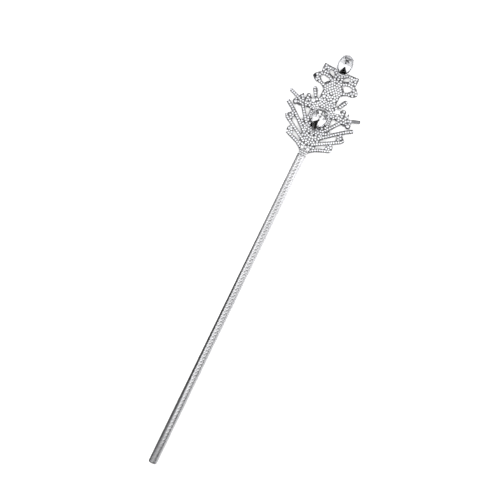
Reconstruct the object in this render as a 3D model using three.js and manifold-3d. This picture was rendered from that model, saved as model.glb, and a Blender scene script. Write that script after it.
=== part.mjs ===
// A jewelled dress sceptre, lying on its back. Lengths are in millimetres.
// +X runs from the butt of the shaft to the tip of the head, +Z rises out of the jewelled face,
// and Y runs across. The sceptre mirrors itself about Y = 0 and rests on Z = 0.
import * as THREE from "three";
import { mergeVertices } from "three/addons/utils/BufferGeometryUtils.js";
import Module from "manifold-3d";

// The whole sceptre
const LENGTH = 435;
const HEAD_RISE = 103; // from the head's foot to the tip of the top stone
const GAP = 0.3; // clearance between neighbouring pieces

// Shaft: a tube with twisted flutes and a closed, rounded butt
const SHAFT_RADIUS = 4.3; // over the ridges
const FLUTES = 7;
const FLUTE_DEPTH = 0.3;
const FLUTE_SPACING = 3.85; // ridge to ridge, along the shaft
const BUTT_ROUNDING = 1.5;
const NECK_RADIUS = 3.4; // the plain end inside the ferrule
const NECK_OVERLAP = 1;

// Ferrule: the foot of the head, a cup over the end of the shaft
const FERRULE_DROP = 3; // how far it comes down over the shaft
const FERRULE_ROOF = 0.8; // height of its ceiling above the head's foot
const FERRULE_TOP = 2.4;
const FERRULE_CHAMFER = 0.9;

// Head frame: a flat openwork casting
const FRAME_BASE = 3.1;
const FRAME_THICKNESS = 1.8;
const FRAME_TOP = FRAME_BASE + FRAME_THICKNESS;

// Claw settings and the two large stones, with their levels above the ground
const BACK_THICKNESS = 0.8;
const WALL = 0.7;
const OVERHANG = 1; // how far a stone stands out over the wall of its cup
const CUP_TOP = 5.8;
const SHOULDER = 0.74; // the stone passes over the rim of its cup at this share of its outline
const GIRDLE_LOW = CUP_TOP + GAP + 0.8;
const GIRDLE_HIGH = GIRDLE_LOW + 0.4;
const TABLE = 9.4;
const CLAW_WIDTH = 1.1;
const CLAW_THICKNESS = 0.6;
const FACETS = 16;
const TOP_STONE = {
  form: oval,
  length: 21.4,
  width: 15.4,
  claws: [40, 140, 220, 320],
};
const CENTRE_STONE = {
  form: pear,
  length: 24.4,
  width: 17.8,
  claws: [35, 95, 180, 265, 325],
};
TOP_STONE.rise = HEAD_RISE - TOP_STONE.length / 2;
CENTRE_STONE.rise = 33.8;

const wasm = await Module();
wasm.setup();

const silver = new THREE.MeshStandardMaterial({
  color: 0xdcdde0,
  metalness: 1,
  roughness: 0.18,
  flatShading: true,
});
const crystal = new THREE.MeshStandardMaterial({
  color: 0xf2f6fa,
  metalness: 0,
  roughness: 0.03,
  flatShading: true,
});

// A closed geometry as a solid that can be joined and cut.
function solid(geometry) {
  const bare = geometry.clone();
  bare.deleteAttribute("normal");
  bare.deleteAttribute("uv");
  const merged = mergeVertices(bare, 1e-4);
  return new wasm.Manifold(
    new wasm.Mesh({
      numProp: 3,
      vertProperties: merged.attributes.position.array,
      triVerts: new Uint32Array(merged.index.array),
    }),
  );
}

function join(solids) {
  return solids.reduce((whole, piece) => whole.add(piece));
}

function mesh(name, body, material) {
  const { vertProperties, triVerts } = body.getMesh();
  const geometry = new THREE.BufferGeometry();
  geometry.setAttribute("position", new THREE.BufferAttribute(vertProperties, 3));
  geometry.setIndex(new THREE.BufferAttribute(triVerts, 1));
  const made = new THREE.Mesh(geometry, material);
  made.name = name;
  return made;
}

// ---- Shaft -------------------------------------------------------------------------------

// One section between neighbouring half flutes turns by exactly one corner of the profile, so
// each ridge is an unbroken edge all the way up the shaft.
function flutedTube(run) {
  const corners = 2 * FLUTES;
  const step = FLUTE_SPACING / 2;
  const straightSteps = Math.round((run - BUTT_ROUNDING) / step);
  const steps = straightSteps + 2;
  const profile = [];
  for (let i = 0; i < corners; i++) {
    const radius = i % 2 ? SHAFT_RADIUS - FLUTE_DEPTH : SHAFT_RADIUS;
    const angle = (2 * Math.PI * i) / corners;
    profile.push(new THREE.Vector2(radius * Math.cos(angle), radius * Math.sin(angle)));
  }
  const tube = new THREE.ExtrudeGeometry(new THREE.Shape(profile), {
    depth: steps,
    steps,
    bevelEnabled: false,
  });
  const corner = 1 - Math.SQRT1_2; // the half-way point of a quarter round
  const butt = [
    { at: 0, inset: BUTT_ROUNDING },
    { at: corner * BUTT_ROUNDING, inset: corner * BUTT_ROUNDING },
  ];
  const point = new THREE.Vector3();
  const position = tube.attributes.position;
  for (let i = 0; i < position.count; i++) {
    point.fromBufferAttribute(position, i);
    const ring = Math.round(point.z);
    const straight = BUTT_ROUNDING + ((run - BUTT_ROUNDING) * (ring - 2)) / straightSteps;
    const { at, inset } = butt[ring] ?? { at: straight, inset: 0 };
    const radius = Math.hypot(point.x, point.y);
    const turn = Math.atan2(point.y, point.x) + (2 * Math.PI * at) / (FLUTES * FLUTE_SPACING);
    const reach = radius - inset;
    position.setXYZ(i, at, reach * Math.cos(turn), reach * Math.sin(turn));
  }
  return tube;
}

function shaft() {
  const run = LENGTH - HEAD_RISE - FERRULE_DROP - GAP;
  const neckTop = LENGTH - HEAD_RISE + FERRULE_ROOF - GAP;
  const neckLength = neckTop - run + NECK_OVERLAP;
  const neck = new THREE.CylinderGeometry(NECK_RADIUS, NECK_RADIUS, neckLength, 20);
  neck.rotateZ(-Math.PI / 2);
  neck.translate(neckTop - neckLength / 2, 0, 0);
  return solid(flutedTube(run)).add(solid(neck));
}

// ---- Head frame --------------------------------------------------------------------------
// Points of the frame are [across, rise]: the distance from the mirror line and the height
// above the head's foot. Everything is cut from one thickness.

const SIDES = [1, -1];

function slab(outline) {
  const plate = new THREE.ExtrudeGeometry(new THREE.Shape(outline), {
    depth: FRAME_THICKNESS,
    bevelEnabled: false,
  });
  plate.translate(0, 0, FRAME_BASE);
  return solid(plate);
}

function at(across, rise, side) {
  return new THREE.Vector2(rise, side * across);
}

// A flat web with straight edges.
function web(points, side) {
  return slab(points.map(([across, rise]) => at(across, rise, side)));
}

// A rounded form through the points, for the bow and its windows.
function rounded(points, side) {
  const corners = points.map(([across, rise]) => new THREE.Vector3(rise, side * across, 0));
  const loop = new THREE.CatmullRomCurve3(corners, true, "centripetal");
  const edge = loop.getPoints(2 * points.length).slice(0, -1);
  return slab(edge.map(({ x, y }) => new THREE.Vector2(x, y)));
}

// A bar of even width that follows a smooth line, cut square at both ends.
function bar(points, width, side) {
  const line = new THREE.SplineCurve(points.map(([across, rise]) => at(across, rise, side)));
  const steps = 2 * (points.length - 1);
  const left = [];
  const right = [];
  for (let i = 0; i <= steps; i++) {
    const middle = line.getPoint(i / steps);
    const ahead = line.getTangent(i / steps);
    const out = new THREE.Vector2(-ahead.y, ahead.x).multiplyScalar(width / 2);
    left.push(middle.clone().add(out));
    right.unshift(middle.clone().sub(out));
  }
  return slab([...left, ...right]);
}

// A leaf that widens from its root to a shoulder, then closes in an elliptical tip. The
// shoulder is given as a share of the leaf's length.
function leaf({ root, tip, width, shoulder }, side) {
  const start = at(...root, side);
  const along = at(...tip, side).sub(start);
  const out = new THREE.Vector2(-along.y, along.x).normalize();
  const left = [];
  const right = [];
  const stations = 8;
  for (let i = 0; i <= stations; i++) {
    const share = Math.sin((Math.PI * i) / (2 * stations)); // closer together towards the tip
    const past = Math.max(0, (share - shoulder) / (1 - shoulder));
    const swell = share < shoulder ? 0.6 + (0.4 * share) / shoulder : Math.sqrt(1 - past * past);
    const half = (swell * width) / 2;
    const middle = start.clone().addScaledVector(along, share);
    left.push(middle.clone().addScaledVector(out, half));
    if (half > 0) right.unshift(middle.clone().addScaledVector(out, -half));
  }
  return slab([...left, ...right]);
}

// Four arms spread from the foot on each side, and a stay runs beside the centre stone.
const ARMS = [
  { line: [[3.6, 2.2], [9.6, 6.5], [16.3, 9.2], [23, 11.6]], width: 3.8 },
  { line: [[4.8, 10.1], [15.4, 16.4], [28.6, 24.1]], width: 3.8 },
  { line: [[7.7, 17.8], [17.3, 25.9], [27.8, 34.1], [34.9, 38.6]], width: 4.1 },
  { line: [[8.6, 25.9], [13.4, 31.7], [20.6, 41.3]], width: 4 },
  { line: [[10.2, 31], [10.2, 41.5]], width: 3.2 },
];
const OUTER_BAR = { line: [[26, 45.2], [37, 49.2]], width: 3.5 };

// Webs fill the tips of the two lower arms, the middle below the centre stone, the band over it
// and the neck under the bow.
const WEBS = [
  [[16.8, 10.6], [22.6, 10.1], [24.5, 13.4], [24, 16.3], [21.1, 18.9], [16.8, 14]],
  [[22.6, 26.9], [23, 23], [25, 20.6], [29.8, 22.6], [32, 25.8], [26.4, 31], [22.1, 29.8]],
  [[-1, 1.5], [3.6, 1.5], [7.7, 4.8], [9.1, 10.1], [10.1, 16.3], [12.5, 21.1], [16, 27], [11, 33], [-1, 33]],
  [[9, 40.3], [18.2, 40.2], [23, 38.6], [29.3, 39], [29.8, 44.6], [27.4, 46.6], [14.4, 51], [9, 53.8]],
  [[-1, 40.8], [9.1, 40.8], [9.1, 65], [-1, 65]],
];
const BOSS = { across: 27.8, rise: 40.8, radius: 3 };

const LEAVES = [
  { root: [24, 44], tip: [24, 51.9], width: 2.8, shoulder: 0.4 },
  { root: [18.7, 44], tip: [18.5, 53.8], width: 5.3, shoulder: 0.75 },
  { root: [10.5, 50], tip: [17.3, 62.4], width: 5, shoulder: 0.7 },
];

// The bow's two pairs of loops and the window in each.
const BOW = {
  lower: [[-1, 59.5], [8.6, 62.9], [13.9, 66.5], [19.2, 66.8], [23.6, 70.6], [22.4, 74], [17.8, 77.6], [-1, 78]],
  lowerWindow: [[6.5, 73], [12.5, 75.1], [16.3, 74.2], [14.7, 71], [11, 68.7], [9.2, 70.8]],
  upper: [[-1, 76], [17.8, 77], [18.5, 80], [18.4, 86], [17.6, 86.7], [7.2, 86], [-1, 84.5]],
  upperWindow: [[4.9, 77.9], [6.1, 81], [8.2, 82.7], [10.4, 82.4], [10.2, 80.1], [7.6, 78.8]],
};

function ferrule() {
  const bore = NECK_RADIUS + GAP;
  const cup = new THREE.LatheGeometry(
    [
      new THREE.Vector2(0, FERRULE_ROOF),
      new THREE.Vector2(bore, FERRULE_ROOF),
      new THREE.Vector2(bore, -FERRULE_DROP),
      new THREE.Vector2(SHAFT_RADIUS, -FERRULE_DROP),
      new THREE.Vector2(SHAFT_RADIUS, FERRULE_TOP - FERRULE_CHAMFER),
      new THREE.Vector2(SHAFT_RADIUS - FERRULE_CHAMFER, FERRULE_TOP),
      new THREE.Vector2(0, FERRULE_TOP),
    ],
    24,
  );
  cup.rotateZ(-Math.PI / 2);
  cup.translate(0, 0, SHAFT_RADIUS);
  return solid(cup);
}

function boss(side) {
  const disc = new THREE.CylinderGeometry(BOSS.radius, BOSS.radius, FRAME_THICKNESS, 14);
  disc.rotateX(Math.PI / 2);
  disc.translate(BOSS.rise, side * BOSS.across, FRAME_BASE + FRAME_THICKNESS / 2);
  return solid(disc);
}

// The hole in which the cup of a setting sits.
function seat(stone) {
  const hole = new THREE.ExtrudeGeometry(new THREE.Shape(ring(stone, OVERHANG - GAP)), {
    depth: 2 * FRAME_TOP,
    bevelEnabled: false,
  });
  hole.translate(stone.rise, 0, 0);
  return solid(hole);
}

function headFrame() {
  const pieces = [ferrule()];
  const windows = [seat(TOP_STONE), seat(CENTRE_STONE)];
  for (const side of SIDES) {
    for (const { line, width } of [...ARMS, OUTER_BAR]) pieces.push(bar(line, width, side));
    for (const points of WEBS) pieces.push(web(points, side));
    for (const form of LEAVES) pieces.push(leaf(form, side));
    pieces.push(boss(side), rounded(BOW.lower, side), web(BOW.upper, side));
    windows.push(rounded(BOW.lowerWindow, side), rounded(BOW.upperWindow, side));
  }
  return join(pieces).subtract(join(windows));
}

// ---- Large stones and their settings -------------------------------------------------------
// A form gives the outline of a stone of half length 1 and half width 1 at an angle from +X.

function oval(angle) {
  return [Math.cos(angle), Math.sin(angle)];
}

// A drop whose point is towards the shaft.
function pear(angle) {
  const widest = 0.77;
  return [Math.cos(angle), (Math.sin(angle) * Math.abs(Math.cos(angle / 2))) / widest];
}

// The stone's outline about its own middle, drawn in by an inset all round.
function edge({ form, length, width }, angle, inset) {
  const [x, y] = form(angle);
  return new THREE.Vector2(x * (length / 2 - inset), y * (width / 2 - inset));
}

function ring(stone, inset) {
  const sides = 2 * FACETS;
  const points = [];
  for (let i = 0; i < sides; i++) points.push(edge(stone, (2 * Math.PI * i) / sides, inset));
  return points;
}

function drum(outline, bottom, top) {
  const made = new THREE.ExtrudeGeometry(new THREE.Shape(outline), {
    depth: top - bottom,
    bevelEnabled: false,
  });
  made.translate(0, 0, bottom);
  return solid(made);
}

// A claw leaves the wall under the stone, climbs past the girdle and hooks over the crown.
function claw(stone, degrees) {
  const angle = THREE.MathUtils.degToRad(degrees);
  const foot = edge(stone, angle, 0);
  const nudge = 0.01;
  const ahead = edge(stone, angle + nudge, 0).sub(edge(stone, angle - nudge, 0)).normalize();
  const tangent = new THREE.Vector3(ahead.x, ahead.y, 0);
  const up = new THREE.Vector3(0, 0, 1);
  const outward = new THREE.Vector3().crossVectors(tangent, up);
  const low = FRAME_TOP + GAP;
  const face = GAP;
  const back = face + CLAW_THICKNESS;
  const hook = -CLAW_THICKNESS;
  const profile = [
    [-OVERHANG - WALL / 2, low],
    [face, low],
    [back, low + CLAW_THICKNESS],
    [back, GIRDLE_HIGH + CLAW_THICKNESS],
    [face, GIRDLE_HIGH + 2 * CLAW_THICKNESS],
    [hook, GIRDLE_HIGH + 2.2 * CLAW_THICKNESS],
    [hook, GIRDLE_HIGH + 1.5 * CLAW_THICKNESS],
    [face, GIRDLE_HIGH + GAP],
    [face, CUP_TOP],
    [-OVERHANG - WALL / 2, CUP_TOP],
  ];
  const made = new THREE.ExtrudeGeometry(
    new THREE.Shape(profile.map(([out, level]) => new THREE.Vector2(out, level))),
    { depth: CLAW_WIDTH, bevelEnabled: false },
  );
  made.translate(0, 0, -CLAW_WIDTH / 2);
  const along = new THREE.Vector3().crossVectors(outward, up);
  made.applyMatrix4(new THREE.Matrix4().makeBasis(outward, up, along));
  made.translate(foot.x, foot.y, 0);
  return solid(made);
}

function setting(stone) {
  const cup = drum(ring(stone, OVERHANG), 0, CUP_TOP);
  const hollow = drum(ring(stone, OVERHANG + WALL), BACK_THICKNESS, CUP_TOP + GAP);
  const claws = stone.claws.map((degrees) => claw(stone, degrees));
  return cup.subtract(hollow).add(join(claws));
}

// A cut stone: a stepped round body whose rings are drawn out to the stone's outline. Each ring
// is a share of the outline and a level.
function cutStone(stone) {
  const culet = BACK_THICKNESS + 2 * GAP;
  const pavilion = [
    [0, culet],
    [0.22, culet],
    [SHOULDER, CUP_TOP + GAP],
  ];
  const crown = [
    [1, GIRDLE_LOW],
    [1, GIRDLE_HIGH],
    [0.84, GIRDLE_HIGH + 1.1],
    [0.58, TABLE],
    [0, TABLE],
  ];
  const rings = [...pavilion, ...crown].map(([share, level]) => new THREE.Vector2(share, level));
  const body = new THREE.LatheGeometry(rings, FACETS);
  const position = body.attributes.position;
  for (let i = 0; i < position.count; i++) {
    const share = Math.hypot(position.getX(i), position.getZ(i));
    const angle = Math.atan2(position.getX(i), position.getZ(i));
    const point = edge(stone, angle, 0).multiplyScalar(share);
    position.setXYZ(i, point.x, point.y, position.getY(i));
  }
  return solid(body);
}

// ---- Assembly ----------------------------------------------------------------------------

const sceptre = new THREE.Group();

const shaftMesh = mesh("shaft", shaft(), silver);
shaftMesh.position.set(-LENGTH / 2, 0, SHAFT_RADIUS);

const head = new THREE.Group();
head.position.x = LENGTH / 2 - HEAD_RISE;
head.add(mesh("head_frame", headFrame(), silver));
for (const [name, stone] of [["top", TOP_STONE], ["centre", CENTRE_STONE]]) {
  const place = new THREE.Group();
  place.position.x = stone.rise;
  place.add(mesh(name + "_setting", setting(stone), silver));
  place.add(mesh(name + "_crystal", cutStone(stone), crystal));
  head.add(place);
}

sceptre.add(shaftMesh, head);

export default sceptre;
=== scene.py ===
"""The looks of a jewelled dress sceptre that lies on its back.

The sceptre lies along X with its tip at the high end. Its lengths are written in millimetres and
become metres through MM; the studio's are in metres. A place on the head is given as across, the
distance from the mirror line towards +Y, and rise, the height above the head's foot.
"""
import math
import random

import bmesh
import bpy
import numpy as np
from mathutils import Matrix, Vector, noise
from mathutils.bvhtree import BVHTree


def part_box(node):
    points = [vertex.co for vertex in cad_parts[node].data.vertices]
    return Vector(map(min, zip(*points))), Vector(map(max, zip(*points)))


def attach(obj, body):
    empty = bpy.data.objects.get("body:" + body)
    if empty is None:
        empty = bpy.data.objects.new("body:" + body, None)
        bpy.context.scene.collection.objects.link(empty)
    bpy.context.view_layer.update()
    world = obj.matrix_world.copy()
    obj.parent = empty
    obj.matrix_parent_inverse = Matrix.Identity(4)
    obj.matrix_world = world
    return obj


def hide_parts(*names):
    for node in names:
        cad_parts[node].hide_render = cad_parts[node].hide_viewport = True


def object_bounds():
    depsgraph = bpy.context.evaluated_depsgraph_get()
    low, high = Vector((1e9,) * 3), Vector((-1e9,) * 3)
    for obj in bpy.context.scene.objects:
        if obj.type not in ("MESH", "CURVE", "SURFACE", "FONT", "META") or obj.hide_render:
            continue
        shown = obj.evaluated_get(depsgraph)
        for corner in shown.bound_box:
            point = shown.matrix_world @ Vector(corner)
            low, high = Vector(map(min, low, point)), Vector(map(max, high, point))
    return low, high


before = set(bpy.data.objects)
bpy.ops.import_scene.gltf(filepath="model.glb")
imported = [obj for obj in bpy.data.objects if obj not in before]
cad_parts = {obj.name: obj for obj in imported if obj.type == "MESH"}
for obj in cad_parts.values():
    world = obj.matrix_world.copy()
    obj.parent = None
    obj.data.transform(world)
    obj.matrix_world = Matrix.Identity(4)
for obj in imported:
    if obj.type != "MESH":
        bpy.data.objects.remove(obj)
cad_low, cad_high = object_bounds()

MM = 0.001
GAP = 0.3  # between pieces that lie face to face

# Head
FRAME_TOP = 4.9  # level of the flat bed that carries the small stones
FERRULE_DROP = 3.0  # how far the ferrule comes down over the shaft
FERRULE_EDGE = 0.2  # faces with their middle below this rise are the ferrule's
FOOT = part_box("head_frame")[0].x / MM + FERRULE_DROP

# Shaft
BUTT = cad_low.x / MM
BUTT_ROUNDING = 1.5
SHAFT_RADIUS = 4.3
FLUTES = 7  # twisted side by side round the tube, each a broad ridge and a thin one
FLUTE_SPACING = 3.85  # from one to the next along the tube
FLUTE_DEPTH = 0.18
THIN_SHARE = 0.34  # of a flute's spacing, taken by its thin ridge
THIN_HEIGHT = 0.8  # of the broad ridge's height
BROAD_POINT = 1.4  # 1 is a round ridge, more is a narrower one
UNEVEN = 0.06  # of the drawn tube, in and out
UNEVEN_SIZE = 1.5
TUBE_STEP = 0.7  # length of the mesh's faces along the tube
NECK_RADIUS = 3.4
NECK_RISE = 0.5  # how far the plain neck goes up past the head's foot

# Wire along the openwork's edge
RIM = 0.45  # width kept clear for it
RIM_WIRE = 0.27  # its radius
RIM_INSET = 0.16  # of its middle from the edge
RIM_LIFT = 0.05  # of its middle over the bed
RIM_STEP = 1.2  # from ring to ring of its mesh

# Small round stones and their cups
STONE = 1.1  # radius of the usual stone
PITCH = 2.4  # from stone to stone in a row
CROWDING = 0.95  # of the usual room, where two rows meet
FILLERS = (1.1, 0.85)  # radii tried in turn wherever there is room
COLLAR_STONE = 0.88  # radius of those round the ferrule
COLLAR_LIFT = 0.1  # of a cup's middle over the ferrule
CUP = 1.1  # radius of a cup for a stone of radius 1
CUP_LIFT = 0.15  # of a cup's middle over the bed
SEAT = 0.52  # height of the girdle in a cup for a stone of radius 1
SMALL_GIRDLE = 0.98  # the stone itself, in a cup for radius 1
SMALL_MAINS = 6
SMALL_LEVELS = (-0.36, -0.14, 0, 0.05, 0.2, 0.36)
SMALL_SHARES = (0.84, 0.95, 0.84, 0.66)
LEAN_OF_STONES = 12  # degrees at most, as they come from the setter's hand
GRAIN = 0.3  # radius of the silver grains raised between stones
HALF_WIDTH = 39  # of the bed on which stones are laid
BED_HEIGHT = 92  # from the head's foot to the end of the bed
FAR = 9.0  # room at a spot before a second neighbour is laid
SEED = 11

# Large stones, by levels above the floor
CULET = 1.7
CUP_TOP = 5.8
GIRDLE = 6.9
GIRDLE_THICKNESS = 0.35
STAR_RISE = 1.4  # from the girdle to the tips of the stars
TABLE = 9.3
LARGE_MAINS = 8
LARGE_SHARES = (0.12, 0.74, 0.8, 0.56)
FOIL = 0.1  # thickness of the foil under a stone
FOIL_BOND = 0.03  # how far the foil is fused into the glass

# Places on the head, as across, rise, and half the size each way. All are on one side only.
BARE_BAR = (-33, 48.4, 4.6, 3.6)
BARE_PLACES = [BARE_BAR, (22.8, 71.8, 1.6, 1.6)]
TARNISHED_WIRE = [
    (7.8, 70.6, 2.6, 2.2), (23, 72, 2.4, 2.6), (-31, 48.6, 2.4, 1.2), (-35.6, 50.2, 2.3, 1.3),
]


# ---- Mesh helpers ------------------------------------------------------------------------


def in_scene(name, data):
    """A new object that shows the mesh, the lamp or the camera."""
    made = bpy.data.objects.new(name, data)
    bpy.context.scene.collection.objects.link(made)
    return made


def new_piece(name, vertices, faces, material, slot, smooth=True):
    """A mesh from points in millimetres, already in place."""
    mesh = bpy.data.meshes.new(name)
    mesh.from_pydata([Vector(v) * MM for v in vertices], [], faces)
    mesh.update()
    mesh.materials.append(material)
    mesh.polygons.foreach_set("use_smooth", [smooth] * len(mesh.polygons))
    piece = in_scene(name, mesh)
    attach(piece, "root")
    return piece


def stamp(pattern, places):
    """Copies of one pattern of points and faces, one at each matrix, as a single list of each."""
    points, faces = pattern
    vertices, polygons = [], []
    for place in places:
        start = len(vertices)
        vertices += [place @ Vector(p) for p in points]
        polygons += [[start + i for i in face] for face in faces]
    return vertices, polygons


def merged(*patterns):
    """Several patterns as one."""
    vertices, polygons = [], []
    for points, faces in patterns:
        start = len(vertices)
        vertices += points
        polygons += [[start + i for i in face] for face in faces]
    return vertices, polygons


def lathe(profile, sides):
    """A closed turned form from (radius, level) points. A radius of 0 makes a single point."""
    points, rings = [], []
    for radius, level in profile:
        count = sides if radius else 1
        rings.append([len(points) + i for i in range(count)])
        for i in range(count):
            angle = 2 * math.pi * i / sides
            points.append((radius * math.cos(angle), radius * math.sin(angle), level))
    faces = []
    for low, high in zip(rings, rings[1:]):
        for i in range(sides):
            j = (i + 1) % sides
            quad = [low[i % len(low)], low[j % len(low)], high[j % len(high)], high[i % len(high)]]
            faces.append(list(dict.fromkeys(quad)))
    return points, faces


def within(across, rise, place):
    """Whether a spot on the head lies in one of its named places."""
    middle_across, middle_rise, half_width, half_height = place
    return abs(across - middle_across) < half_width and abs(rise - middle_rise) < half_height


# ---- Materials ---------------------------------------------------------------------------


def node(tree, kind, inputs=(), **settings):
    """A node with its settings. Inputs map a socket to a plain value or to another's output."""
    made = tree.nodes.new(kind)
    for name, value in settings.items():
        setattr(made, name, value)
    for socket, value in dict(inputs).items():
        if isinstance(value, bpy.types.NodeSocket):
            tree.links.new(value, made.inputs[socket])
        else:
            made.inputs[socket].default_value = value
    return made


def new_group(name, sockets_in, sockets_out):
    """A shader group with named inputs, each with its default, and its two end nodes."""
    tree = bpy.data.node_groups.new(name, "ShaderNodeTree")
    for label, value in sockets_in.items():
        made = tree.interface.new_socket(name=label, in_out="INPUT", socket_type="NodeSocketFloat")
        made.default_value = value
    for label in sockets_out:
        tree.interface.new_socket(name=label, in_out="OUTPUT", socket_type="NodeSocketFloat")
    return tree, tree.nodes.new("NodeGroupInput"), tree.nodes.new("NodeGroupOutput")


def handling_group():
    """Haze and hairline scratches from handling: a mask, and a height for a bump."""
    tree, start, end = new_group(
        "handling", {"Haze Scale": 60.0, "Scratch Scale": 900.0}, ["Haze", "Scratches"]
    )
    where = node(tree, "ShaderNodeTexCoord")
    haze = node(
        tree, "ShaderNodeTexNoise",
        {"Vector": where.outputs["Object"], "Scale": start.outputs["Haze Scale"], "Detail": 5.0},
    )
    soft = node(
        tree, "ShaderNodeMapRange",
        {"Value": haze.outputs["Fac"], "From Min": 0.35, "From Max": 0.7},
    )
    stretched = node(
        tree, "ShaderNodeMapping",
        {"Vector": where.outputs["Object"], "Scale": (0.08, 1.0, 1.0), "Rotation": (0, 0, 0.35)},
    )
    lines = node(
        tree, "ShaderNodeTexNoise",
        {"Vector": stretched.outputs["Vector"], "Scale": start.outputs["Scratch Scale"],
         "Detail": 2.0},
    )
    tree.links.new(soft.outputs["Result"], end.inputs["Haze"])
    tree.links.new(lines.outputs["Fac"], end.inputs["Scratches"])
    return tree


handling = handling_group()


def shader(name):
    """A new material with its Principled shader, and the tree that holds them."""
    material = bpy.data.materials.new(name)
    material.use_nodes = True
    tree = material.node_tree
    return material, tree, tree.nodes["Principled BSDF"]


def plain(surface, **values):
    """Values that are the same all over, set on the shader's own sockets."""
    for label, value in values.items():
        surface.inputs[label.replace("_", " ")].default_value = value


def silver_plate(name, bright, hazed, rough, scratches):
    """Plate whose colour and roughness run from bright to hazed, with scratches of one depth."""
    material, tree, surface = shader(name)
    marks = node(tree, "ShaderNodeGroup", node_tree=handling)
    colour = node(
        tree, "ShaderNodeMix",
        {"Factor": marks.outputs["Haze"], "A": (*bright, 1), "B": (*hazed, 1)},
        data_type="RGBA",
    )
    roughness = node(
        tree, "ShaderNodeMapRange",
        {"Value": marks.outputs["Haze"], "To Min": rough[0], "To Max": rough[1]},
    )
    worn = node(
        tree, "ShaderNodeBump",
        {"Height": marks.outputs["Scratches"], "Strength": scratches, "Distance": 0.02 * MM},
    )
    tree.links.new(colour.outputs["Result"], surface.inputs["Base Color"])
    tree.links.new(roughness.outputs["Result"], surface.inputs["Roughness"])
    tree.links.new(worn.outputs["Normal"], surface.inputs["Normal"])
    plain(surface, Metallic=1.0)
    return material


def cut_glass(name, ior):
    """Clear glass with the faintest streak of colour in its melt."""
    material, tree, surface = shader(name)
    where = node(tree, "ShaderNodeTexCoord")
    melt = node(
        tree, "ShaderNodeTexNoise",
        {"Vector": where.outputs["Object"], "Scale": 90.0, "Detail": 1.0},
    )
    colour = node(
        tree, "ShaderNodeMix",
        {"Factor": melt.outputs["Fac"], "A": (1, 1, 1, 1), "B": (0.97, 0.98, 1, 1)},
        data_type="RGBA",
    )
    tree.links.new(colour.outputs["Result"], surface.inputs["Base Color"])
    plain(surface, Metallic=0.0, Roughness=0.0, IOR=ior, Transmission_Weight=1.0)
    return material


bright_plate = silver_plate(
    "silver plate", (0.93, 0.93, 0.94), (0.8, 0.8, 0.82), rough=(0.04, 0.14), scratches=0.15
)
tube_plate = silver_plate(
    "tube plate", (0.82, 0.82, 0.84), (0.74, 0.74, 0.76), rough=(0.1, 0.14), scratches=0.3
)
worn_plate = silver_plate(
    "worn plate", (0.3, 0.3, 0.31), (0.2, 0.2, 0.21), rough=(0.3, 0.42), scratches=0.5
)
# Near black. On the bed between the small stones it is painted shade, for the shade of the deep
# gaps between their cups; on the spots of the rim wire it is tarnish.
bed_shade_and_wire_tarnish = silver_plate(
    "painted shade of bed and wire tarnish", (0.05, 0.05, 0.055), (0.02, 0.02, 0.022), rough=(0.25, 0.4), scratches=0.2
)
bright_foil = silver_plate(
    "bright foil", (0.95, 0.95, 0.96), (0.92, 0.92, 0.93), rough=(0.0, 0.02), scratches=0.0
)
# Black foil under chosen facets of the large stones: painted dark reflection, which gives the
# stones their dark patches.
dark_reflection_foil = silver_plate(
    "foil with painted dark reflection", (0.03, 0.03, 0.03), (0.02, 0.02, 0.02), rough=(0.3, 0.4), scratches=0.0
)
crystal = cut_glass("cut crystal", ior=1.55)
paste = cut_glass("small paste stones", ior=1.6)


# ---- Shaft -------------------------------------------------------------------------------


def tube_stations():
    """Rings along the shaft: place on X, how far the tube is drawn in, and depth of its flutes."""
    top = FOOT - FERRULE_DROP - GAP
    straight = top - BUTT - BUTT_ROUNDING
    round_steps = 6
    for i in range(round_steps):
        turn = math.pi / 2 * i / round_steps
        inset = BUTT_ROUNDING * (1 - math.sin(turn))
        yield BUTT + BUTT_ROUNDING * (1 - math.cos(turn)), inset, FLUTE_DEPTH * math.sin(turn)
    steps = round(straight / TUBE_STEP)
    for i in range(steps + 1):
        yield BUTT + BUTT_ROUNDING + straight * i / steps, 0, FLUTE_DEPTH
    yield top, SHAFT_RADIUS - NECK_RADIUS, 0
    yield FOOT + NECK_RISE, SHAFT_RADIUS - NECK_RADIUS, 0


def ridge_height(place):
    """Height of the tube's surface across one flute, from 0 in a groove to 1."""
    broad = 1 - THIN_SHARE
    if place < broad:
        return math.sin(math.pi * place / broad) ** BROAD_POINT
    return THIN_HEIGHT * math.sin(math.pi * (place - broad) / THIN_SHARE)


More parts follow.
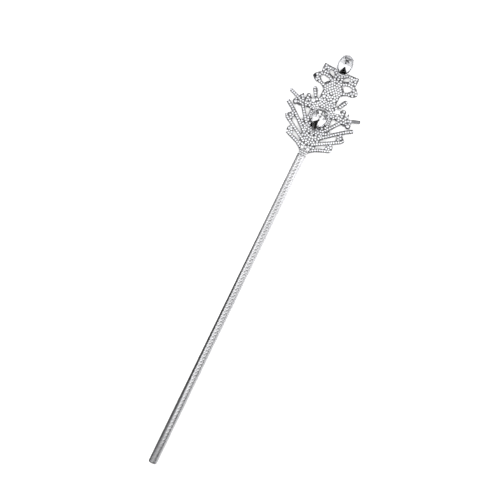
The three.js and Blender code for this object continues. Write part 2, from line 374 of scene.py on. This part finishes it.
def shaft_tube():
    """The fluted tube with its rounded butt and the plain neck inside the ferrule."""
    broad = 1 - THIN_SHARE
    shares = [0, 0.06, 0.17, 0.33, 0.5, 0.67, 0.83, 0.94]  # across one ridge, closer at its grooves
    places = [broad * share for share in shares]
    places += [broad + THIN_SHARE * share for share in shares[::2]]
    around = [2 * math.pi * (flute + place) / FLUTES for flute in range(FLUTES) for place in places]
    stations = list(tube_stations())
    vertices, faces = [], []
    for x, inset, depth in stations:
        twist = 2 * math.pi * (x - BUTT) / (FLUTES * FLUTE_SPACING)
        for angle in around:
            height = ridge_height(FLUTES * angle / (2 * math.pi) % 1)
            turned = angle + twist
            spot = Vector((x, SHAFT_RADIUS * math.cos(turned), SHAFT_RADIUS * math.sin(turned)))
            wave = UNEVEN * depth / FLUTE_DEPTH * (noise.noise(spot / UNEVEN_SIZE) - 0.5)
            radius = SHAFT_RADIUS - inset - depth * (1 - height) + wave
            y, z = radius * math.cos(turned), radius * math.sin(turned)
            vertices.append((x, y, SHAFT_RADIUS + z))
    sides = len(around)
    for ring in range(len(stations) - 1):
        for i in range(sides):
            j = (i + 1) % sides
            a, b = ring * sides, (ring + 1) * sides
            faces.append([a + i, a + j, b + j, b + i])
    for ring, order in ((0, -1), (len(stations) - 1, 1)):
        centre = len(vertices)
        vertices.append((stations[ring][0], 0, SHAFT_RADIUS))
        for i in range(sides):
            a, b = ring * sides + i, ring * sides + (i + 1) % sides
            faces.append([centre, a, b][::order])
    vertices = [(max(x, BUTT), y, max(z, 0)) for x, y, z in vertices]
    tube = new_piece("fluted_tube", vertices, faces, tube_plate, "silver_plate")
    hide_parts("shaft")


# ---- Large stones ------------------------------------------------------------------------


def oval(angle):
    """Outline of the oval and the round stones, for half sizes of 1."""
    return math.cos(angle), math.sin(angle)


def pear(angle):
    """Outline of the drop stone, with its point towards the shaft."""
    widest = 0.77  # of the curve before it is brought to a half width of 1
    return math.cos(angle), math.sin(angle) * abs(math.cos(angle / 2)) / widest


def brilliant(outline, half_length, half_width, levels, mains, shares):
    """A cut stone about its own middle.

    Levels are those of the culet, the shoulder over the cup's rim, the girdle's two edges, the
    tips of the stars, and the table. Shares of the full width are those of the culet, the
    shoulder, the stars and the table. Each main facet has a kite on the crown over it.
    """
    culet, shoulder, girdle_low, girdle_high, star, table = levels
    culet_share, shoulder_share, star_share, table_share = shares
    points = []

    def ring(share, level, count, offset=0.0):
        start = len(points)
        for i in range(count):
            x, y = outline(2 * math.pi * (i + offset) / count)
            points.append((x * half_length * share, y * half_width * share, level))
        return [start + i for i in range(count)]

    pairs = 2 * mains
    keel = ring(culet_share, culet, mains)
    seat = ring(shoulder_share, shoulder, pairs)
    low = ring(1, girdle_low, pairs)
    high = ring(1, girdle_high, pairs)
    stars = ring(star_share, star, mains, 0.5)
    flat = ring(table_share, table, mains)
    faces = [keel[::-1], flat]
    for i in range(mains):
        j = (i + 1) % mains
        a, b, c = 2 * i, 2 * i + 1, (2 * i + 2) % pairs
        faces += [
            [keel[i], seat[b], seat[a]],
            [keel[i], keel[j], seat[b]],
            [keel[j], seat[c], seat[b]],
            [flat[i], stars[i], flat[j]],
            [high[a], high[b], stars[i]],
            [high[b], high[c], stars[i]],
            [flat[i], stars[i - 1], high[a], stars[i]],
        ]
    for i in range(pairs):
        j = (i + 1) % pairs
        faces += [[seat[i], seat[j], low[j], low[i]], [low[i], low[j], high[j], high[i]]]
    return points, faces


def large_stone(name, cad_node, outline, painted_dark_facets):
    """The stone, and the foil fused under its lower facets.

    The listed lower facets have black foil, a painted dark reflection for the stone's dark patches:
    0 is the culet, and each main has three more, counted from the tip of the head towards +Y.
    """
    low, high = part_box(cad_node)
    middle = (low + high) / 2 / MM
    size = (high - low) / MM
    levels = (CULET, CUP_TOP + GAP, GIRDLE, GIRDLE + GIRDLE_THICKNESS, GIRDLE + STAR_RISE, TABLE)
    points, faces = brilliant(outline, size.x / 2, size.y / 2, levels, LARGE_MAINS, LARGE_SHARES)
    points = [(x + middle.x, y, z) for x, y, z in points]
    stone = new_piece(name, points, faces, crystal, "crystal", smooth=False)
    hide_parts(cad_node)
    pairs = 2 * LARGE_MAINS
    under = LARGE_MAINS + pairs  # points of the culet and the shoulder
    lower = [face for face in faces if max(face) < under]
    inner = [(x, y, z + FOIL_BOND) for x, y, z in points[:under]]
    outer = [(x, y, z - FOIL) for x, y, z in inner]
    shell = [face[::-1] for face in lower] + [[under + i for i in face] for face in lower]
    for i in range(pairs):
        a, b = LARGE_MAINS + i, LARGE_MAINS + (i + 1) % pairs
        shell.append([under + a, under + b, b, a])
    lining = new_piece(
        name + "_foil", inner + outer, shell, bright_foil, "silver_plate", smooth=False
    )
    lining.data.materials.append(dark_reflection_foil)
    # Painted dark reflection: these facets get the black foil.
    for facet in painted_dark_facets:
        lining.data.polygons[facet].material_index = 1


# ---- Castings: the openwork head and the settings of the large stones ----------------------


# The second place, the near black top of the bed, is painted shade.
BRIGHT, PAINTED_SHADE, WORN = range(3)  # places of a casting's three finishes in its mesh


def on_top(normal, centre):
    """Whether a face belongs to the flat upper side of the openwork."""
    return normal.z > 0.99 and abs(centre.z / MM - FRAME_TOP) < 0.05


def head_finish(face):
    """The finish of a face of the openwork: worn on the ferrule and the bare bar, painted shade on
    the rest of the top.
    """
    centre = face.calc_center_median()
    across, rise = centre.y / MM, centre.x / MM - FOOT
    top = on_top(face.normal, centre)
    if rise < FERRULE_EDGE or top and within(across, rise, BARE_BAR):
        return WORN
    return PAINTED_SHADE if top else BRIGHT


def finished_casting(name, cad_node, edge):
    """The node's own form with its edges softened, as a casting is after tumbling."""
    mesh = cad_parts[cad_node].data.copy()
    mesh.name = name
    mesh.materials.clear()
    for finish in (bright_plate, bed_shade_and_wire_tarnish, worn_plate):
        mesh.materials.append(finish)
    form = bmesh.new()
    form.from_mesh(mesh)
    bmesh.ops.remove_doubles(form, verts=form.verts, dist=0.01 * MM)
    bmesh.ops.dissolve_limit(
        form, angle_limit=math.radians(1), verts=form.verts, edges=form.edges
    )
    is_head = cad_node == "head_frame"
    if is_head:  # a line across the bare bar, where its own finish begins
        bar_start = Vector((0, (BARE_BAR[0] + BARE_BAR[2]) * MM, 0))
        whole = form.verts[:] + form.edges[:] + form.faces[:]
        bmesh.ops.bisect_plane(form, geom=whole, plane_co=bar_start, plane_no=(0, 1, 0))
    corners = [e for e in form.edges if e.calc_face_angle(0) > math.radians(28)]
    bmesh.ops.bevel(
        form, geom=corners, offset=edge * MM, segments=2, profile=0.5, affect="EDGES",
        clamp_overlap=True,
    )
    for face in form.faces:
        face.smooth = True
        face.material_index = head_finish(face) if is_head else BRIGHT
    form.to_mesh(mesh)
    form.free()
    mesh.set_sharp_from_angle(angle=math.radians(35))
    piece = in_scene(name, mesh)
    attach(piece, "root")
    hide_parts(cad_node)


# ---- Layout of the small stones ------------------------------------------------------------

# Rows of the usual stone on one half of the head, each a smooth line through (across, rise).
ROWS = [
    [(3.6, 2.2), (9.6, 6.5), (16.3, 9.2), (23, 11.6)],
    [(4.8, 10.1), (15.4, 16.4), (28.6, 24.1)],
    [(7.7, 17.8), (17.3, 25.9), (27.8, 34.1), (34.9, 38.6)],
    [(8.6, 25.9), (13.4, 31.7), (20.6, 41.3)],
    [(26, 45.2), (37, 49.2)],
    [(24, 44), (24, 50.6)],
    [(18.7, 44), (18.5, 51.9)],
    [(10.5, 50), (17, 60.8)],
    [(0, 11.2), (2.4, 11.5), (4.8, 12.8)],
    [(0, 13.7), (2.4, 14.0), (5.4, 15.7)],
    [(0, 16.2), (2.4, 16.6), (6.6, 19.4)],
    [(0, 18.7), (2.4, 19.2), (7.4, 23)],
]
# Stones of their own size, as (across, rise, direction, radius).
MEDIUM_STONES = [(2.9, 4.2, 0.6, 1.75), (27.8, 40.8, 0.3, 1.6), (5.2, 57, 0.2, 1.6)]
FRAMED_ROOM = 1.15  # radius of the room that it takes, and of its pair, for a half side of 1
FRAMED_PAIR_HEADING = 0.35
FRAMED_TURN = 0.2
FRAMED_STONE = (12.9, 49.2, 1.9)  # across, rise, half its side; a round one is its pair


def smooth_line(points, pitch):
    """Evenly spaced places on a smooth line through the points, with the line's direction."""
    steps = 24  # from point to point, to measure the line by
    dense = []
    for i in range(len(points) - 1):
        before = Vector(points[max(i - 1, 0)])
        start, stop = Vector(points[i]), Vector(points[i + 1])
        after = Vector(points[min(i + 2, len(points) - 1)])
        for step in range(steps):
            t = step / steps
            dense.append(
                0.5 * (2 * start + (stop - before) * t
                       + (2 * before - 5 * start + 4 * stop - after) * t * t
                       + (3 * start - before - 3 * stop + after) * t ** 3)
            )
    dense.append(Vector(points[-1]))
    lengths = np.cumsum([0.0] + [(b - a).length for a, b in zip(dense, dense[1:])])
    found = []
    for want in np.linspace(0, lengths[-1], max(2, round(lengths[-1] / pitch) + 1)):
        i = min(int(np.searchsorted(lengths, want, "right")) - 1, len(dense) - 2)
        share = (want - lengths[i]) / (lengths[i + 1] - lengths[i])
        ahead = dense[i + 1] - dense[i]
        found.append((dense[i].lerp(dense[i + 1], share), math.atan2(ahead.y, ahead.x)))
    return found


def face_of_head():
    """The flat top of the head frame as a tree for hits, and its border as line segments."""
    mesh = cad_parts["head_frame"].data
    tops = [list(face.vertices) for face in mesh.polygons if on_top(face.normal, face.center)]
    places = [v.co / MM for v in mesh.vertices]
    key = {i: tuple(round(c, 3) for c in places[i]) for face in tops for i in face}
    sides = {}
    for face in tops:
        for a, b in zip(face, face[1:] + face[:1]):
            pair = frozenset((key[a], key[b]))
            sides[pair] = sides.get(pair, 0) + 1
    border = [sorted(pair) for pair, uses in sides.items() if uses == 1 and len(pair) == 2]
    tree = BVHTree.FromPolygons(places, tops)
    return tree, np.array([[(a[1], a[0] - FOOT), (b[1], b[0] - FOOT)] for a, b in border])


def border_loops(border):
    """The border's segments strung together into closed loops."""
    ends = {}
    for a, b in border:
        a, b = tuple(a), tuple(b)
        ends.setdefault(a, []).append(b)
        ends.setdefault(b, []).append(a)
    loops = []
    while ends:
        start = next(iter(ends))
        loop = [start]
        while ends.get(loop[-1]):
            here = loop[-1]
            there = ends[here].pop()
            ends[there].remove(here)
            if not ends[here]:
                del ends[here]
            if there in ends and not ends[there]:
                del ends[there]
            if there == start:
                break
            loop.append(there)
        if len(loop) > 3:
            loops.append(loop)
    return loops


def over_bed(tree, across, rise):
    """Whether the flat top of the head lies under a spot."""
    above = Vector((FOOT + rise, across, 2 * TABLE))
    return tree.ray_cast(above, Vector((0, 0, -1)))[0] is not None


def evened(loop, step, shortest=0.25):
    """The loop with its long sides divided and its short ones joined."""
    points = [Vector(p) for p in loop]
    found = [points[0]]
    for a, b in zip(points, points[1:] + points[:1]):
        if (b - found[-1]).length < shortest:
            continue
        pieces = max(1, round((b - a).length / step))
        found += [a.lerp(b, (k + 1) / pieces) for k in range(pieces)]
    if (found[-1] - found[0]).length < shortest:
        found.pop()
    return found


def rim_wire(sides=8):
    """The bright half-round wire along every edge of the openwork."""
    tree, border = face_of_head()
    vertices, faces = [], []
    for loop in border_loops(border):
        points = evened(loop, RIM_STEP)
        count = len(points)
        normals = []
        for i in range(count):
            ahead = (points[(i + 1) % count] - points[i - 1]).normalized()
            side = Vector((-ahead.y, ahead.x))
            normals.append(side if over_bed(tree, *(points[i] + side * RIM_WIRE)) else -side)
        start = len(vertices)
        for point, inward in zip(points, normals):
            middle = point + inward * RIM_INSET
            for k in range(sides):
                angle = 2 * math.pi * k / sides
                spread = middle + inward * (RIM_WIRE * math.cos(angle))
                level = FRAME_TOP + RIM_LIFT + RIM_WIRE * math.sin(angle)
                vertices.append((FOOT + spread.y, spread.x, level))
        for i in range(count):
            j = (i + 1) % count
            for k in range(sides):
                m = (k + 1) % sides
                a, b = start + i * sides, start + j * sides
                faces.append([a + k, a + m, b + m, b + k])
    wire = new_piece("rim_wire", vertices, faces, bright_plate, "silver_plate")
    form = bmesh.new()
    form.from_mesh(wire.data)
    bmesh.ops.recalc_face_normals(form, faces=form.faces)
    form.to_mesh(wire.data)
    form.free()
    wire.data.materials.append(bed_shade_and_wire_tarnish)
    for face in wire.data.polygons:
        across, rise = face.center.y / MM, face.center.x / MM - FOOT
        if any(within(across, rise, place) for place in TARNISHED_WIRE):
            face.material_index = 1


def depth_in(points, border):
    """Each point's distance to the border."""
    start, stop = border[:, 0], border[:, 1]
    run = stop - start
    square = np.maximum((run ** 2).sum(1), 1e-12)
    offset = points[:, None, :] - start[None]
    share = np.clip((offset * run).sum(2) / square, 0, 1)
    return np.linalg.norm(offset - share[..., None] * run, axis=2).min(1)


class Bed:
    """The bed of one half of the head, which knows how much room is left at each spot."""

    def __init__(self, grid=0.25):
        tree, border = face_of_head()
        xs, ys = np.meshgrid(np.arange(0, HALF_WIDTH, grid), np.arange(0, BED_HEIGHT, grid))
        spots = np.stack([xs.ravel(), ys.ravel()], 1)
        self.spots = spots[[over_bed(tree, across, rise) for across, rise in spots]]
        parts = np.array_split(self.spots, 40)  # a few at a time, to spare memory
        self.depth = np.concatenate([depth_in(part, border) for part in parts])
        self.room = self.depth - RIM  # to the nearest cup or rim
        self.next_room = np.full(len(self.room), FAR)  # to the one after that
        self.laid = []

    def lay(self, across, rise, heading, radius):
        """Put a stone down, with its mirror image, and take its room."""
        self.laid.append((across, rise, heading, radius))
        for side in (1, -1):
            gap = np.hypot(self.spots[:, 0] - side * across, self.spots[:, 1] - rise) - CUP * radius
            self.next_room = np.minimum(self.next_room, np.maximum(self.room, gap))
            self.room = np.minimum(self.room, gap)
            if across == 0:
                break

    def fits(self, across, rise, radius):
        """Whether a stone clears the mirror line and all that is laid."""
        if 0 < across < CUP * radius:
            return False
        return all(
            math.hypot(across - a, rise - b) > (radius + r) * CUP * CROWDING
            for a, b, _, r in self.laid
        )

    def fill(self, radius):
        """Stones of one size wherever they fit, each pushed up against what is there already."""
        size = radius * CUP
        while True:
            free = self.room >= size
            free &= (self.spots[:, 0] == 0) | (self.spots[:, 0] >= size)
            if not free.any():
                return
            cost = np.where(free, self.room + self.next_room, np.inf)
            best = int(cost.argmin())
            across, rise = self.spots[best]
            near = min(self.laid, key=lambda s: math.hypot(s[0] - across, s[1] - rise))
            self.lay(across, rise, math.atan2(rise - near[1], across - near[0]), radius)


def lay_stones():
    """Stones as (across, rise, direction of the row, radius), and grains as (across, rise)."""
    bed = Bed()
    for stone in MEDIUM_STONES:
        bed.lay(*stone)
    across, rise, half = FRAMED_STONE
    bed.lay(across, rise, FRAMED_PAIR_HEADING, half * FRAMED_ROOM)
    for row in ROWS:
        for place, heading in smooth_line(row, PITCH):
            if bed.fits(place.x, place.y, STONE):
                bed.lay(place.x, place.y, heading, STONE)
    for radius in FILLERS:
        bed.fill(radius)
    grains = []
    while True:
        free = (bed.room >= GRAIN) & (bed.depth > 2 * RIM)
        free &= (bed.spots[:, 0] == 0) | (bed.spots[:, 0] >= GRAIN)
        if not free.any():
            return bed.laid, grains
        across, rise = bed.spots[int(np.where(free, bed.room, -1).argmax())]
        grains.append((across, rise))
        bed.lay(across, rise, 0, GRAIN / CUP)
        bed.laid.pop()


def both_sides(laid):
    """The stones of one half and their mirror images."""
    for across, rise, heading, radius in laid:
        yield across, rise, heading, radius
        if across > 0:
            yield -across, rise, math.pi - heading, radius


def cup_pattern(sides=12, prongs=4):
    """A cup for a stone of radius 1 with beads raised over its rim and leaning in."""
    wall = lathe(
        [(0, -0.5), (CUP * 0.93, -0.5), (CUP, 0.42), (0.95, 0.5), (0.88, 0.1), (0, 0.08)], sides
    )
    bead = lathe([(0, -0.3), (0.2, -0.3), (0.21, 0.12), (0.12, 0.27), (0, 0.31)], 6)
    from_middle, level, lean_in = 1.06, 0.6, 0.35
    beads = []
    for corner in range(prongs):
        angle = (corner + 0.5) * 2 * math.pi / prongs
        x, y = math.cos(angle), math.sin(angle)
        foot = Matrix.Translation((from_middle * x, from_middle * y, level))
        lean = Matrix.Rotation(-lean_in, 4, Vector((-y, x, 0)))
        beads.append(stamp(bead, [foot @ lean]))
    return merged(wall, *beads)


# Rings of stones round the ferrule: rise from the head's foot, and degrees from straight up.
COLLAR_RINGS = [(-2.15, (-52, -26, 0, 26, 52)), (-0.15, (-39, -13, 13, 39))]


def collar_spots():
    """Places of the stones on the ferrule, as (matrix, direction of the row, radius)."""
    for rise, angles in COLLAR_RINGS:
        for angle in angles:
            middle = Matrix.Translation((FOOT + rise, 0, SHAFT_RADIUS))
            turn = Matrix.Rotation(math.radians(angle), 4, "X")
            outward = Matrix.Translation((0, 0, SHAFT_RADIUS + COLLAR_LIFT))
            yield middle @ turn @ outward, 0, COLLAR_STONE


def bare(across, rise):
    """Whether a spot on the head has neither stones nor grains."""
    return any(within(across, rise, place) for place in BARE_PLACES)


def small_stones():
    """The round stones with their cups, the grains between them, and the framed stone."""
    half_laid, half_grains = lay_stones()
    framed_spot = (-FRAMED_STONE[0], FRAMED_STONE[1])
    spots = [
        (Matrix.Translation((FOOT + rise, across, FRAME_TOP + CUP_LIFT)), heading, radius)
        for across, rise, heading, radius in both_sides(half_laid)
        if (across, rise) != framed_spot and not bare(across, rise)
    ]
    spots += collar_spots()
    chance = random.Random(SEED)
    cups, seated = [], []
    for spot, heading, radius in spots:
        turn = Matrix.Rotation(math.pi / 2 - heading, 4, "Z")
        cups.append(spot @ turn @ Matrix.Scale(radius, 4))
        tip = Matrix.Rotation(math.radians(chance.uniform(0, LEAN_OF_STONES)), 4, "X")
        spin = Matrix.Rotation(chance.uniform(0, 2 * math.pi), 4, "Z")
        lean = Matrix.Rotation(chance.uniform(0, 2 * math.pi), 4, "Z")
        lift = Matrix.Translation((0, 0, SEAT))
        seated.append(spot @ Matrix.Scale(radius, 4) @ lift @ lean @ tip @ spin)
    stone = brilliant(
        oval, SMALL_GIRDLE, SMALL_GIRDLE, SMALL_LEVELS, SMALL_MAINS, SMALL_SHARES
    )
    new_piece("stone_cups", *stamp(cup_pattern(), cups), bright_plate, "silver_plate")
    new_piece("small_stones", *stamp(stone, seated), paste, "crystal", smooth=False)
    grain = lathe([(0, -0.1), (GRAIN, -0.1), (GRAIN, 0.12), (GRAIN * 0.7, 0.3), (0, 0.38)], 7)
    places = [
        Matrix.Translation((FOOT + rise, side * across, FRAME_TOP))
        for across, rise in half_grains
        for side in ((1, -1) if across else (1,))
        if not bare(side * across, rise)
    ]
    new_piece("grains", *stamp(grain, places), bright_plate, "silver_plate")
    framed_stone()


def framed_stone():
    """The square stone in its square frame. Their profiles are in shares of half its side."""
    across, rise, half = FRAMED_STONE
    place = Matrix.Translation((FOOT + rise, -across, FRAME_TOP))
    place = place @ Matrix.Rotation(FRAMED_TURN, 4, "Z") @ Matrix.Rotation(math.pi / 4, 4, "Z")
    frame_profile = [
        (0, -0.1), (1.22, -0.1), (1.22, 1.0), (1.14, 1.1), (1.0, 1.05), (0.5, 0.25), (0, 0.25),
    ]
    stone_profile = [
        (0, 0.3), (0.45, 0.3), (0.97, 1.06), (0.97, 1.14), (0.8, 1.45), (0.62, 1.6), (0, 1.6),
    ]
    for name, profile, material, slot in (
        ("square_frame", frame_profile, bright_plate, "silver_plate"),
        ("square_stone", stone_profile, paste, "crystal"),
    ):
        corners = [(share * half * math.sqrt(2), level) for share, level in profile]
        new_piece(name, *stamp(lathe(corners, 4), [place]), material, slot, smooth=False)


# ---- Stage -------------------------------------------------------------------------------

LEAN = math.radians(25.88)  # of the shaft from upright in the view
VIEW_WIDTH = 480 * MM
VIEW_MIDDLE = (-1.0 * MM, 8.93 * MM)  # right and up in the view, from the sceptre's middle
DISTANCE = 3.0
SENSOR = 36

FLOOR_HALF = 4.0  # half of the paper's side
SOFTBOX_SIZE = 2.4
SOFTBOX_HEIGHT = 2.2
SOFTBOX_POWER = 70

WHITE_ROOM = 1.42  # light of the room's walls
# Each flag: where it stands, its half angle in degrees, the softness of its edge, its light, and
# its light as seen through glass.
FLAGS = [
    ((0, 0, -1), 100, 0.17, 0.5, 1.2),
    ((-0.45, 0.65, -0.6), 64, 0.1, 0.01, 1.15),
    ((-0.62, -0.3, 0.72), 40, 0.06, 0.02, 0.9),
]
# Cards bent round the shaft's axis. Each has a light, a distance from the axis, and at either end
# its place along X and its span in degrees, from straight up to the right as seen from the butt.
CARDS = {
    "dark_left_card": (0.08, 0.15, (-0.26, -150, -38), (0.06, -150, -72)),
    "pale_left_card": (0.45, 0.13, (0.0, -110, -84), (0.13, -140, -62)),
    "thin_left_card": (0.2, 0.14, (-0.1, -46, -42), (0.13, -46, -36)),
    "grey_right_card": (0.05, 0.15, (-0.26, 12, 72), (0.1, 46, 56)),
    "low_right_card": (0.65, 0.15, (-0.26, 74, 150), (0.13, 105, 150)),
    "white_right_card": (1.3, 0.14, (-0.3, 150, 180), (0.13, 90, 180)),
    "butt_card": (0.5, 0.12, (-0.32, -50, 20), (-0.17, -50, 20)),
    "low_butt_card": (0.22, 0.12, (-0.32, -96, -50), (-0.16, -84, -70)),
}
STONE_CARD_HEIGHT = 0.06  # over the stone's table
STONE_CARD_RADIUS = 0.009


def mixed_light(tree, share, start, stop):
    """A light that goes from start to stop as the share goes from 0 to 1."""
    mix = node(
        tree, "ShaderNodeMix", {"Factor": share, "A": start, "B": stop}, data_type="FLOAT"
    )
    return mix.outputs["Result"]


def studio():
    """A white room with large soft dark flags, for the metal and the stones to reflect."""
    world = bpy.data.worlds.new("studio")
    bpy.context.scene.world = world
    world.use_nodes = True
    tree = world.node_tree
    where = node(tree, "ShaderNodeTexCoord").outputs["Generated"]
    ray = node(tree, "ShaderNodeLightPath").outputs
    light = WHITE_ROOM
    for toward, half_angle, softness, level, in_glass in FLAGS:
        flag_light = mixed_light(tree, ray["Is Transmission Ray"], level, in_glass)
        edge = math.cos(math.radians(half_angle))
        facing = node(
            tree, "ShaderNodeVectorMath", {0: where, 1: tuple(Vector(toward).normalized())},
            operation="DOT_PRODUCT",
        )
        inside = node(
            tree, "ShaderNodeMapRange",
            {"Value": facing.outputs["Value"], "From Min": edge - softness,
             "From Max": edge + softness},
            interpolation_type="SMOOTHSTEP",
        )
        light = mixed_light(tree, inside.outputs["Result"], light, flag_light)
    light = mixed_light(tree, ray["Is Camera Ray"], light, 1.0)
    background = tree.nodes["Background"]
    tree.links.new(light, background.inputs["Strength"])
    background.inputs["Color"].default_value = (1, 1, 1, 1)


def card(name, vertices, faces, light):
    """A sheet of one light, which shows only as a reflection."""
    material = bpy.data.materials.new(name)
    material.use_nodes = True
    tree = material.node_tree
    glow = node(tree, "ShaderNodeEmission", {"Color": (1, 1, 1, 1), "Strength": light})
    tree.links.new(glow.outputs["Emission"], tree.nodes["Material Output"].inputs["Surface"])
    mesh = bpy.data.meshes.new(name)
    mesh.from_pydata(vertices, [], faces)
    mesh.materials.append(material)
    sheet = in_scene(name, mesh)
    sheet.visible_camera = False
    sheet.visible_diffuse = False
    sheet.visible_transmission = False
    sheet.visible_shadow = False


def shaft_cards(steps=12):
    """The bent cards round the shaft, which give the tube its long soft bands."""
    for name, (light, distance, butt_end, head_end) in CARDS.items():
        vertices = []
        for along, start, stop in (butt_end, head_end):
            for i in range(steps + 1):
                angle = math.radians(start + (stop - start) * i / steps)
                vertices.append((along, -distance * math.sin(angle), distance * math.cos(angle)))
        faces = [[i, i + 1, steps + 2 + i, steps + 1 + i] for i in range(steps)]
        card(name, vertices, faces, light)


def stone_cards(sides=24):
    """A small black disc over each large stone, which keeps the room out of its flat top."""
    eye = bpy.context.scene.camera.location
    for cad_node in ("top_crystal", "centre_crystal"):
        low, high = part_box(cad_node)
        top = Vector(((low.x + high.x) / 2, (low.y + high.y) / 2, TABLE * MM))
        down = top - eye
        middle = top + Vector((down.x, down.y, -down.z)) * STONE_CARD_HEIGHT / -down.z
        rim = [
            middle + Vector((math.cos(angle), math.sin(angle), 0)) * STONE_CARD_RADIUS
            for angle in (2 * math.pi * i / sides for i in range(sides))
        ]
        card(cad_node + "_card", rim, [list(range(sides))], 0.0)


def floor():
    """White paper. Its own reflection is left out of the metal, which mirrors the room instead."""
    half = FLOOR_HALF
    corners = [(-half, -half, 0), (half, -half, 0), (half, half, 0), (-half, half, 0)]
    material, tree, surface = shader("white paper")
    where = node(tree, "ShaderNodeTexCoord")
    fibre = node(
        tree, "ShaderNodeTexNoise",
        {"Vector": where.outputs["Object"], "Scale": 30.0, "Detail": 4.0},
    )
    tone = node(
        tree, "ShaderNodeMix",
        {"Factor": fibre.outputs["Fac"], "A": (0.93, 0.93, 0.93, 1), "B": (0.9, 0.9, 0.9, 1)},
        data_type="RGBA",
    )
    tree.links.new(tone.outputs["Result"], surface.inputs["Base Color"])
    plain(surface, Roughness=0.9)
    mesh = bpy.data.meshes.new("floor")
    mesh.from_pydata(corners, [], [(0, 1, 2, 3)])
    mesh.materials.append(material)
    paper = in_scene("floor", mesh)
    paper.visible_glossy = False


def softbox():
    """The round light overhead, which the metal and the glass don't show."""
    lamp = bpy.data.lights.new("overhead softbox", "AREA")
    lamp.shape = "DISK"
    lamp.size = SOFTBOX_SIZE
    lamp.energy = SOFTBOX_POWER
    box = in_scene("overhead softbox", lamp)
    box.location = (0, 0, SOFTBOX_HEIGHT)
    box.visible_glossy = False
    box.visible_transmission = False


def camera():
    """Straight over the sceptre, and turned so that its shaft leans in the view."""
    right = Vector((math.sin(LEAN), -math.cos(LEAN), 0))
    up = Vector((math.cos(LEAN), math.sin(LEAN), 0))
    data = bpy.data.cameras.new("camera")
    data.sensor_width = SENSOR
    data.lens = SENSOR * DISTANCE / VIEW_WIDTH
    data.clip_start = 0.1
    data.clip_end = 20
    made = in_scene("camera", data)
    made.location = VIEW_MIDDLE[0] * right + VIEW_MIDDLE[1] * up
    made.location.z = DISTANCE + FRAME_TOP * MM
    made.rotation_euler = (0, 0, LEAN - math.pi / 2)
    bpy.context.scene.camera = made


studio()
floor()
softbox()
shaft_cards()
camera()
stone_cards()
shaft_tube()
finished_casting("openwork", "head_frame", edge=0.15)
rim_wire()
finished_casting("top_claw_cup", "top_setting", edge=0.12)
finished_casting("centre_claw_cup", "centre_setting", edge=0.12)
large_stone("oval_crystal", "top_crystal", oval, painted_dark_facets=(2, 12, 13, 14, 15))
large_stone("drop_crystal", "centre_crystal", pear, painted_dark_facets=(0, 8, 9, 10, 11, 12, 13, 14))
small_stones()

bpy.context.scene.view_settings.view_transform = "Standard"
